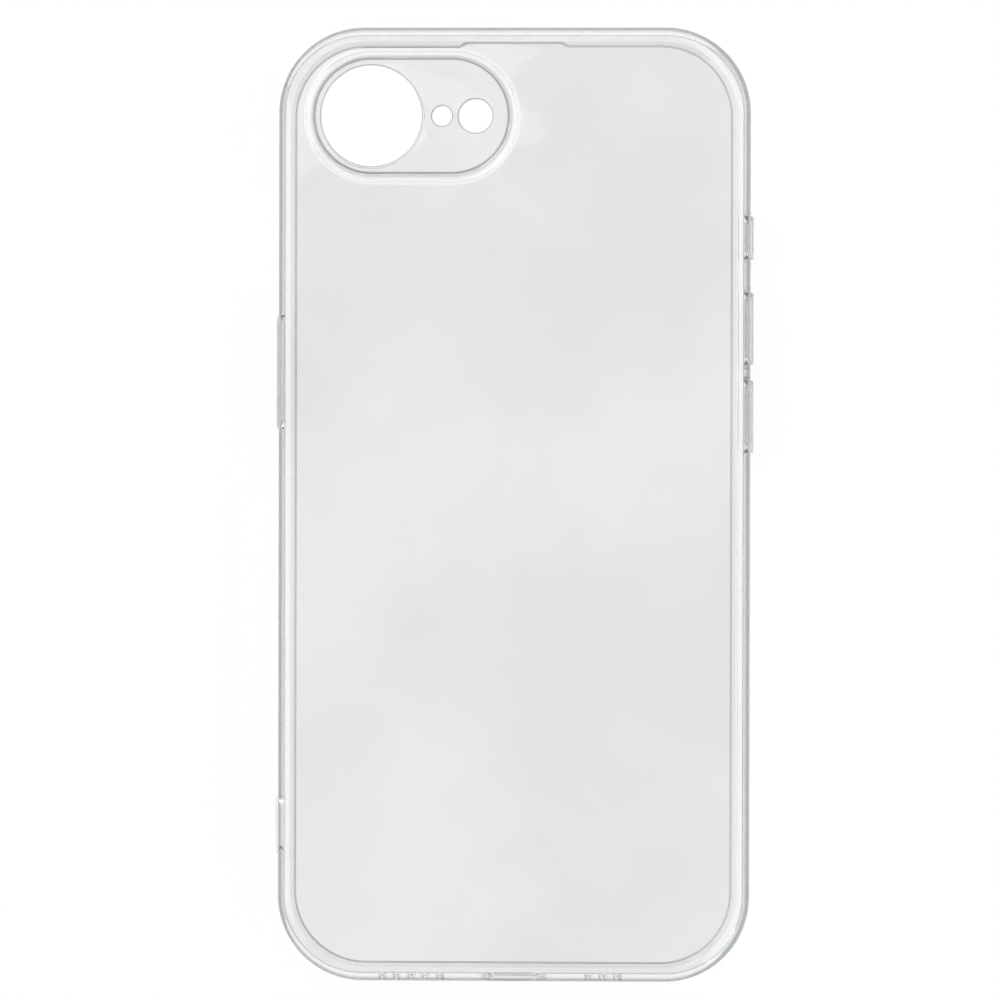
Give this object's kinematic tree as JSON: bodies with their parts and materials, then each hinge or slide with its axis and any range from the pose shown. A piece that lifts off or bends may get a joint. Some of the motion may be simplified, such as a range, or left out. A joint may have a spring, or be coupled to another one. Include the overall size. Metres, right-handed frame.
{
  "type": "phone case",
  "caption": "Clear phone case: hard back plate in a soft frame with a raised camera guard, sprung button covers, charging port and sound holes.",
  "frame": {"origin": "middle of the case's outline, on the plane of the front lip that it rests on", "axes": "+Y to the top edge, +X to the volume buttons, +Z out of the back"},
  "size_m": [0.0752, 0.15, 0.0118],
  "materials": {
    "soft_clear": "clear soft polyurethane moulding, glossy, faintly grey at its edges, with fine handling scratches",
    "hard_clear": "clear hard polycarbonate sheet, glossy outside, with a very fine dotted texture and a faint haze",
    "guard_clear": "clear polished moulding with a crisp grey rim line",
    "cover_clear": "clear soft moulding, satin from handling"
  },
  "bodies": {
    "case_shell": {"bumper_frame": "soft_clear", "back_plate": "hard_clear", "camera_guard": "guard_clear", "action_button_web": "soft_clear", "volume_up_web": "soft_clear", "volume_down_web": "soft_clear", "side_button_web": "soft_clear"},
    "action_button": {"action_button_cover": "cover_clear"},
    "volume_up": {"volume_up_cover": "cover_clear"},
    "volume_down": {"volume_down_cover": "cover_clear"},
    "side_button": {"side_button_cover": "cover_clear"}
  },
  "joints": [
    {"name": "action_button_press", "type": "slide", "parent": "case_shell", "child": "action_button", "axis": [-1, 0, 0], "range_m": [0, 0.0004], "stiffness_N_per_m": 1500, "deforming": ["action_button_web"]},
    {"name": "volume_up_press", "type": "slide", "parent": "case_shell", "child": "volume_up", "axis": [-1, 0, 0], "range_m": [0, 0.0004], "stiffness_N_per_m": 1500, "deforming": ["volume_up_web"]},
    {"name": "volume_down_press", "type": "slide", "parent": "case_shell", "child": "volume_down", "axis": [-1, 0, 0], "range_m": [0, 0.0004], "stiffness_N_per_m": 1500, "deforming": ["volume_down_web"]},
    {"name": "side_button_press", "type": "slide", "parent": "case_shell", "child": "side_button", "axis": [1, 0, 0], "range_m": [0, 0.0004], "stiffness_N_per_m": 1500, "deforming": ["side_button_web"]}
  ]
}
